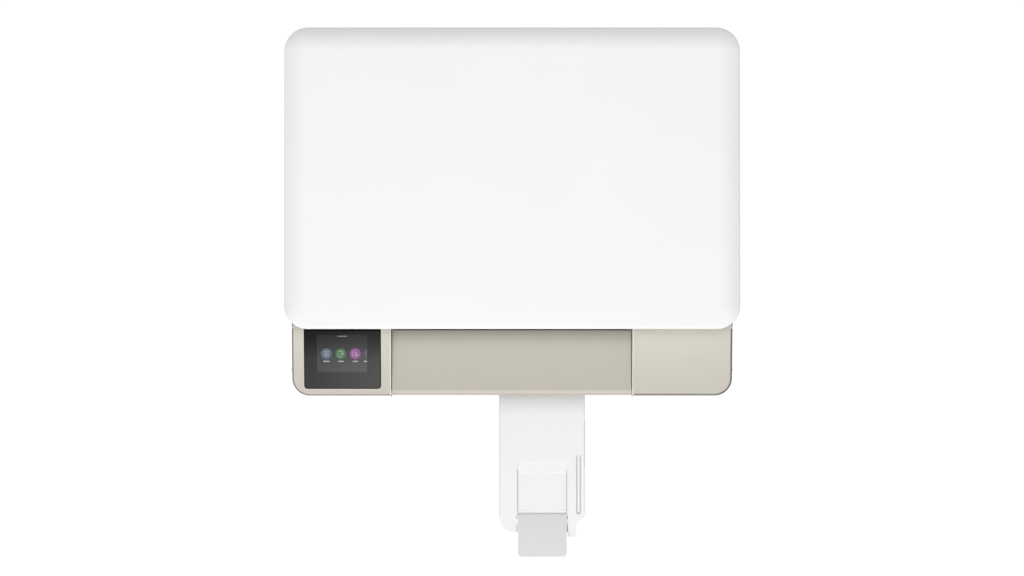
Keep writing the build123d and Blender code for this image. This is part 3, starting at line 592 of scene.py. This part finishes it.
def extender_details():
    """The groove's walls, the pocket under the paper stop and the plate's side edges, with painted shade on
    them and a painted glow on the pocket's sill.
    """
    low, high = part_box("tray_extender")
    # the plate itself ends 0.8 mm inside its box at the right
    left, right, rear, top = low.x / MM, high.x / MM - 0.8, -20.5, 54.0
    groove_x, groove_half, groove_y = 70.6, 2.5, (-232.9, -174.5)
    # painted shade along the groove's two walls
    for side in (-1, 1):
        x = groove_x + side * (groove_half - 0.35)
        extender_box("groove_wall", painted_groove_shade, x - 0.35, x + 0.35, *groove_y, top - 1.5, top - 0.1)
    # a strip of the plain white moulding on the groove's floor, lighter than the painted shade on its walls
    extender_box("groove_floor", white, groove_x - 0.7, groove_x + 0.7, *groove_y, top - 1.7, top - 1.45)

    # painted shade on the pocket's side walls, then the ledge, and the sill under the paper stop's barrel
    # with a painted glow over the barrel's shadow
    pocket_left, pocket_right, pocket_rear, pocket_floor = 4.7, 59.0, -190.0, 50.3
    barrel_y = -236.4
    barrel_rear = barrel_y + 2.2
    for x in (pocket_left + 0.7, pocket_right - 0.8):
        extender_box(
            "pocket_wall", painted_groove_shade, x - 0.28, x + 0.28, barrel_rear, pocket_rear, pocket_floor, top - 0.15
        )
    extender_box(
        "stop_ledge", tray_white, pocket_left + 1.4, pocket_right - 1.2, barrel_y - 0.2, barrel_rear,
        pocket_floor - 0.7, pocket_floor + 0.1,
    )
    extender_box(
        "pocket_sill", sill_painted_glow, pocket_left + 1.2, pocket_right - 1.0, barrel_rear - 0.1,
        barrel_rear + 1.9, pocket_floor, pocket_floor + 0.24,
    )

    # painted shade in the gaps between the paper stop and the plate's two arms
    arm_y = (-254.4, barrel_y + 0.9)
    for x0, x1 in ((pocket_left + 0.02, pocket_left + 0.75), (pocket_right - 0.75, pocket_right - 0.02)):
        extender_box("arm_shade", painted_shade_and_joint, x0, x1, *arm_y, pocket_floor - 0.5, top - 1.0)

    # painted shade on the plate's side edges, from behind its rounded front corners to its rear end
    edge_z = (top - 0.6, top + 0.04)
    extender_box("side_edge_left", painted_edge_shade, left + 0.02, left + 0.6, -238.0, rear, *edge_z)
    extender_box("side_edge_right", painted_edge_shade, right - 0.6, right - 0.02, -235.0, rear, *edge_z)


extender_details()


# ---------------------------------------------------------------- deck edges and partings
door_low, door_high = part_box("access_door")
# the door's pins stand out 2 mm past its sides
bay_left, bay_right = door_low.x / MM + 2.0, door_high.x / MM - 2.0
seam_front, seam_rear = -104.2, -34.0
lip_rear = -99.8


def deck_height(y):
    """Height of the deck's sloping top at y."""
    return deck_rear_z - (deck_rear_y - y) * math.tan(deck_tilt)


def deck_outline():
    """The right half of the deck's outline, rear to front: each point and its outward direction."""
    front_y, corner, corner_steps = -105.0, 18.0, 14
    path = [(casing_x, y, 1.0, 0.0) for y in (-36.2, -52.0, -68.0, -84.0)]
    for step in range(corner_steps + 1):
        angle = math.radians(90 * step / corner_steps)
        x = casing_x - corner + corner * math.cos(angle)
        y = front_y + corner - corner * math.sin(angle)
        path.append((x, y, math.cos(angle), -math.sin(angle)))
    return path + [(x, front_y, 0.0, -1.0) for x in (190.0, 160.0, 124.6)]


def deck_edge(name, side, highest, flat):
    """Painted shade: a dark line along the deck's rounded outer edge, on one side of the door, where the edge
    turns away from the light.

    Its section reaches round the edge up to the angle highest, and then flat millimetres inwards.
    """
    edge_radius, lowest, swing_steps = 1.5, -10, 10
    outside, inside = 0.06, -0.5
    upwards = range(swing_steps + 1)
    bm = bmesh.new()
    rings = []
    for x, y, out_x, out_y in deck_outline():
        ring = []
        for lift, swing in ((outside, upwards), (inside, reversed(upwards))):
            for step in swing:
                angle = math.radians(lowest + (highest - lowest) * step / swing_steps)
                reach = (edge_radius + lift) * math.cos(angle) - edge_radius - flat * (step == swing_steps)
                # at the front the slope of the deck carries the edge up or down with its reach
                slope = out_y * reach * math.tan(deck_tilt)
                z = deck_height(y) - edge_radius + (edge_radius + lift) * math.sin(angle) + slope
                ring.append(bm.verts.new(Vector((side * (x + out_x * reach), y + out_y * reach, z)) * MM))
        rings.append(ring)
    for one, two in zip(rings, rings[1:]):
        bridge(bm, one, two)
    bm.faces.new(rings[0])
    bm.faces.new(reversed(rings[-1]))
    bmesh.ops.recalc_face_normals(bm, faces=bm.faces[:])
    smooth_by_angle(bm, 40)
    new_piece(name, bm, "base", "inner_grey", painted_shade_and_joint)


def deck_shoulder(name, side):
    """Painted shade on the corner of the deck beside the scanner base."""
    x0, x1 = sorted((side * (casing_x - 1.4), side * casing_x))
    bm = bmesh.new()
    solid_box(bm, x0, x1, deck_rear_y - 0.2, deck_rear_y + 11.0, deck_rear_z - 0.4, deck_rear_z + 0.05)
    new_piece(name, bm, "base", "inner_grey", painted_shade_and_joint)


def deck_strip(name, x0, x1, y0, y1, material, top=0.05):
    """A thin strip that follows the deck, with its top this far above it."""
    bm = bmesh.new()
    solid_box(bm, x0, x1, y0, y1, top - 0.3, top)
    for vertex in bm.verts:
        vertex.co.z += deck_height(vertex.co.y / MM) * MM
    new_piece(name, bm, "base", "beige_deck", material)


def seams():
    """Painted highlights on the moulded edges that catch the light, and the ends of the parting lines beside
    the door.
    """
    glass_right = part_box("touch_glass")[1].x / MM
    deck_strip("glass_edge_light", glass_right + 0.3, glass_right + 1.25, -94.5, -34.5, painted_edge_highlight)
    deck_strip("seam_edge_left", bay_left - 0.95, bay_left - 0.02, seam_front, seam_rear, painted_edge_highlight)
    deck_strip("seam_edge_right", bay_right + 0.02, bay_right + 0.9, seam_front, seam_rear, painted_edge_highlight)
    # the deck's moulding meets the door's lip, so the parting lines end behind it
    deck_strip("seam_end_left", bay_left - 0.1, bay_left + 0.5, seam_front - 0.1, lip_rear, beige, 0.0)
    deck_strip("seam_end_right", bay_right - 0.5, bay_right + 0.1, seam_front - 0.1, lip_rear, beige, 0.0)


def partings(name, side, seam):
    """The short dark ends of the deck moulding's parting line, at the side and at the front."""
    top, depth = -3.0, 0.9
    x0, x1 = sorted((side * casing_x, side * (casing_x + depth)))
    deck_strip("side_parting_" + name, x0, x1, -78.8, -77.6, painted_shade_and_joint, top)
    deck_strip("front_parting_" + name, seam - 0.5, seam + 0.7, -106.0, -104.8, painted_shade_and_joint, top)


# the right side shows a broader line of painted shade, because the light comes from the left
deck_edge("deck_edge_left", -1, 85, 0.0)
deck_edge("deck_edge_right", 1, 90, 0.5)
for name, side in SIDES:
    deck_shoulder("deck_shoulder_" + name, side)
seams()
for (name, side), seam in zip(SIDES, (bay_left, bay_right)):
    partings(name, side, seam)

# ---------------------------------------------------------------- touch screen
panel_low, panel_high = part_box("display_panel")
panel_middle = (panel_low + panel_high) / 2
deck_up = Vector((0, -math.sin(deck_tilt), math.cos(deck_tilt)))
deck_rise = Vector((0, math.cos(deck_tilt), math.sin(deck_tilt)))
panel_thick, glass_thick = 1.2, 1.4
glass_lift = 2.0  # from the middle of the display panel up to the glass face
# the display's half width, and its half depth along the deck
display_half_x = (panel_high.x - panel_low.x) / MM / 2
panel_depth = (panel_high.y - panel_low.y) / MM
display_half_y = (panel_depth - panel_thick * math.sin(deck_tilt)) / math.cos(deck_tilt) / 2
icon_radius = 5.5
icon_row = -0.3
icon_columns = (-16.0, -1.2, 13.5, 28.05)


def on_screen(across, up, lift):
    """A place on the touch glass, from the middle of the display."""
    return panel_middle + (Vector((across, 0, 0)) + deck_rise * up + deck_up * (glass_lift + lift)) * MM


def screen_ring(bm, outline, lift):
    """Vertices of an outline at a height above the glass."""
    return [bm.verts.new(on_screen(x, y, lift)) for x, y in outline]


def bar(x, y, width, height):
    """Outline of a short bar about its middle."""
    return rounded(x - width / 2, x + width / 2, y - height / 2, y + height / 2, min(width, height) * 0.3, 3)


def frame_bars(x0, x1, y0, y1, width=0.5):
    """Four thin bars round a rectangle."""
    middle_x, middle_y = (x0 + x1) / 2, (y0 + y1) / 2
    wide, tall = x1 - x0 + width, y1 - y0 - 3 * width
    return [bar(middle_x, y0, wide, width), bar(middle_x, y1, wide, width),
            bar(x0, middle_y, width, tall), bar(x1, middle_y, width, tall)]


def disc(x, y, radius, steps=40):
    """Outline of a disc, cut off where it would leave the display."""
    turns = [math.tau * i / steps for i in range(steps)]
    if x + radius > display_half_x:
        # the outline starts at the upper end of the cut
        opening = math.acos((display_half_x - x) / radius)
        kept = [turn for turn in turns if opening < turn < math.tau - opening]
        turns = [opening] + kept + [math.tau - opening]
    return [(x + radius * math.cos(turn), y + radius * math.sin(turn)) for turn in turns]


def screen_piece(name, material, outlines, low, high):
    """One object on the screen, made of thin prisms."""
    bm = bmesh.new()
    for outline in outlines:
        bottom, top = screen_ring(bm, outline, low), screen_ring(bm, outline, high)
        bm.faces.new(bottom[::-1])
        bm.faces.new(top)
        bridge(bm, bottom, top)
    bmesh.ops.recalc_face_normals(bm, faces=bm.faces[:])
    new_piece(name, bm, "base", "display", material)


def glyph_outlines():
    """Three lines; a page with an arrow out of it; a page with a folded corner."""
    menu, copy, scan, _ = icon_columns
    row = icon_row
    glyphs = [bar(menu, row + line, 5.0, 0.75) for line in (2.0, 0.0, -2.0)]
    glyphs += frame_bars(copy - 2.9, copy + 0.7, row - 3.0, row + 2.2)
    glyphs += [bar(copy + 0.5, row + 2.9, 3.0, 0.5), bar(copy + 2.6, row + 0.4, 0.5, 3.6)]
    glyphs += [[(copy + 1.0, row + 1.3), (copy + 1.0, row - 1.3), (copy + 2.0, row)]]
    glyphs += frame_bars(scan - 3.0, scan + 0.1, row - 2.0, row + 1.9)
    glyphs += [bar(scan + 1.8, row - 2.0, 2.4, 0.5)]
    glyphs += [[(scan + 0.7, row + 1.9), (scan + 0.7, row - 1.3), (scan + 2.7, row - 1.3)]]
    return glyphs


def screen():
    """Display face, handle bar, icons with their glyphs, and plain bars for the labels."""
    face = rounded(-display_half_x, display_half_x, -display_half_y, display_half_y, 0.4, 2)
    screen_piece("display_face", display_face, [face], -0.05, 0.02)
    screen_piece("screen_handle", bar_grey, [bar(0.4, 17.8, 9.7, 0.9)], 0.0, 0.05)
    for x, (name, colour) in zip(icon_columns, icon_colours.items()):
        icon = disc(x, icon_row, icon_radius)
        screen_piece("icon_" + name, lit("icon_" + name, colour, 0.02), [icon], 0.0, 0.05)
    captions = ((-16.05, 6.4), (-1.3, 5.7), (13.4, 5.2), (display_half_x - 1.65, 3.1))
    labels = [bar(x, icon_row - 7.8, width, 1.25) for x, width in captions]
    screen_piece("screen_labels", label_grey, labels, 0.0, 0.05)
    screen_piece("screen_glyphs", glyph_white, glyph_outlines(), 0.04, 0.08)


def glass_frame():
    """The dark rim and the cream bezel, a painted highlight, round the touch glass, and the painted
    reflection at its rear.
    """
    low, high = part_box("touch_glass")
    x0, x1 = (low.x - panel_middle.x) / MM, (high.x - panel_middle.x) / MM
    # both ends of the glass, seen along the deck from the display's own depth
    shift = glass_lift * math.tan(deck_tilt)
    rear = high.y - glass_thick * MM * math.sin(deck_tilt)
    y0 = (low.y - panel_middle.y) / math.cos(deck_tilt) / MM + shift
    y1 = (rear - panel_middle.y) / math.cos(deck_tilt) / MM + shift
    # under the lid's front edge a black band paints the glass's reflection of the lid's dark underside
    shade_band = rounded(x0 + 0.8, x1 - 0.8, y1 - 4.1, y1 - 0.8, 0.3, 2)
    screen_piece("glass_shade", rim_black, [shade_band], 0.0, 0.03)
    corner = 3.0
    # the cream bezel is a painted highlight on the edge of the glass's recess
    for name, material, slot, out, wide, foot, top in (
        ("glass_rim", rim_black, "screen_glass", 0.25, 0.95, -0.3, 0.02),
        ("glass_bezel_highlight", bezel_painted_highlight, "beige_deck", 1.2, 1.0, -0.5, 0.12),
    ):
        outer = rounded(x0 - out, x1 + out, y0 - out, y1 + out, corner + out)
        inset = wide - out
        inner = rounded(x0 + inset, x1 - inset, y0 + inset, y1 - inset, corner - inset)
        bm = bmesh.new()
        section = ((outer, foot), (outer, top), (inner, top), (inner, foot))
        rings = [screen_ring(bm, outline, lift) for outline, lift in section]
        for one, two in zip(rings, rings[1:] + rings[:1]):
            bridge(bm, one, two)
        bmesh.ops.recalc_face_normals(bm, faces=bm.faces[:])
        rounding = new_piece(name, bm, "base", slot, material).modifiers.new("rounding", "BEVEL")
        rounding.width = 0.2 * MM
        rounding.segments = 2


screen()
glass_frame()


# ---------------------------------------------------------------- floor, lights, camera (in metres)
def floor():
    """A white sweep, lit by itself, that throws no light back on the printer."""
    bm = bmesh.new()
    bmesh.ops.create_grid(bm, x_segments=2, y_segments=2, size=14.0)
    piece = link("studio_floor", mesh_of("studio_floor", bm))
    material, tree, shader, place = new_material("studio_floor")
    paint(tree, shader, noise(tree, place, 0.8), (0.1, 0.1, 0.1), (0.11, 0.11, 0.11))
    shader.inputs["Roughness"].default_value = 0.9
    shader.inputs["Emission Color"].default_value = (1, 1, 1, 1)
    shader.inputs["Emission Strength"].default_value = 0.97
    piece.data.materials.append(material)
    piece.visible_diffuse = False
    piece.visible_glossy = False


def area_light(name, place, size, power):
    """A round light that points at the middle of the printer."""
    aim = Vector((0, 0, 0.1))
    light = bpy.data.lights.new(name, "AREA")
    light.shape = "DISK"
    light.size = size
    light.energy = power
    lamp = bpy.data.objects.new(name, light)
    bpy.context.scene.collection.objects.link(lamp)
    lamp.location = place
    lamp.rotation_euler = (aim - Vector(place)).to_track_quat("-Z", "Y").to_euler()


def studio():
    """A soft key light from the front, a softer one overhead, and an even white sky."""
    floor()
    area_light("key_front", (-0.3, -3.2, 2.9), 2.2, 100)
    area_light("overhead", (0, 0.35, 4.5), 2.2, 60)
    world = bpy.data.worlds.new("studio")
    bpy.context.scene.world = world
    world.use_nodes = True
    background = world.node_tree.nodes["Background"]
    background.inputs["Color"].default_value = (1, 1, 1, 1)
    background.inputs["Strength"].default_value = 0.42
    bpy.context.scene.view_settings.view_transform = "Standard"


def camera():
    """Straight down on the printer, its front at the bottom of the picture."""
    data = bpy.data.cameras.new("camera")
    data.sensor_width = 36.0
    data.lens = 70.9
    eye = bpy.data.objects.new("camera", data)
    bpy.context.scene.collection.objects.link(eye)
    eye.location = (-0.0002, 0.0054, 2.2)
    eye.rotation_euler = (0, 0, 0)
    bpy.context.scene.camera = eye


studio()
camera()
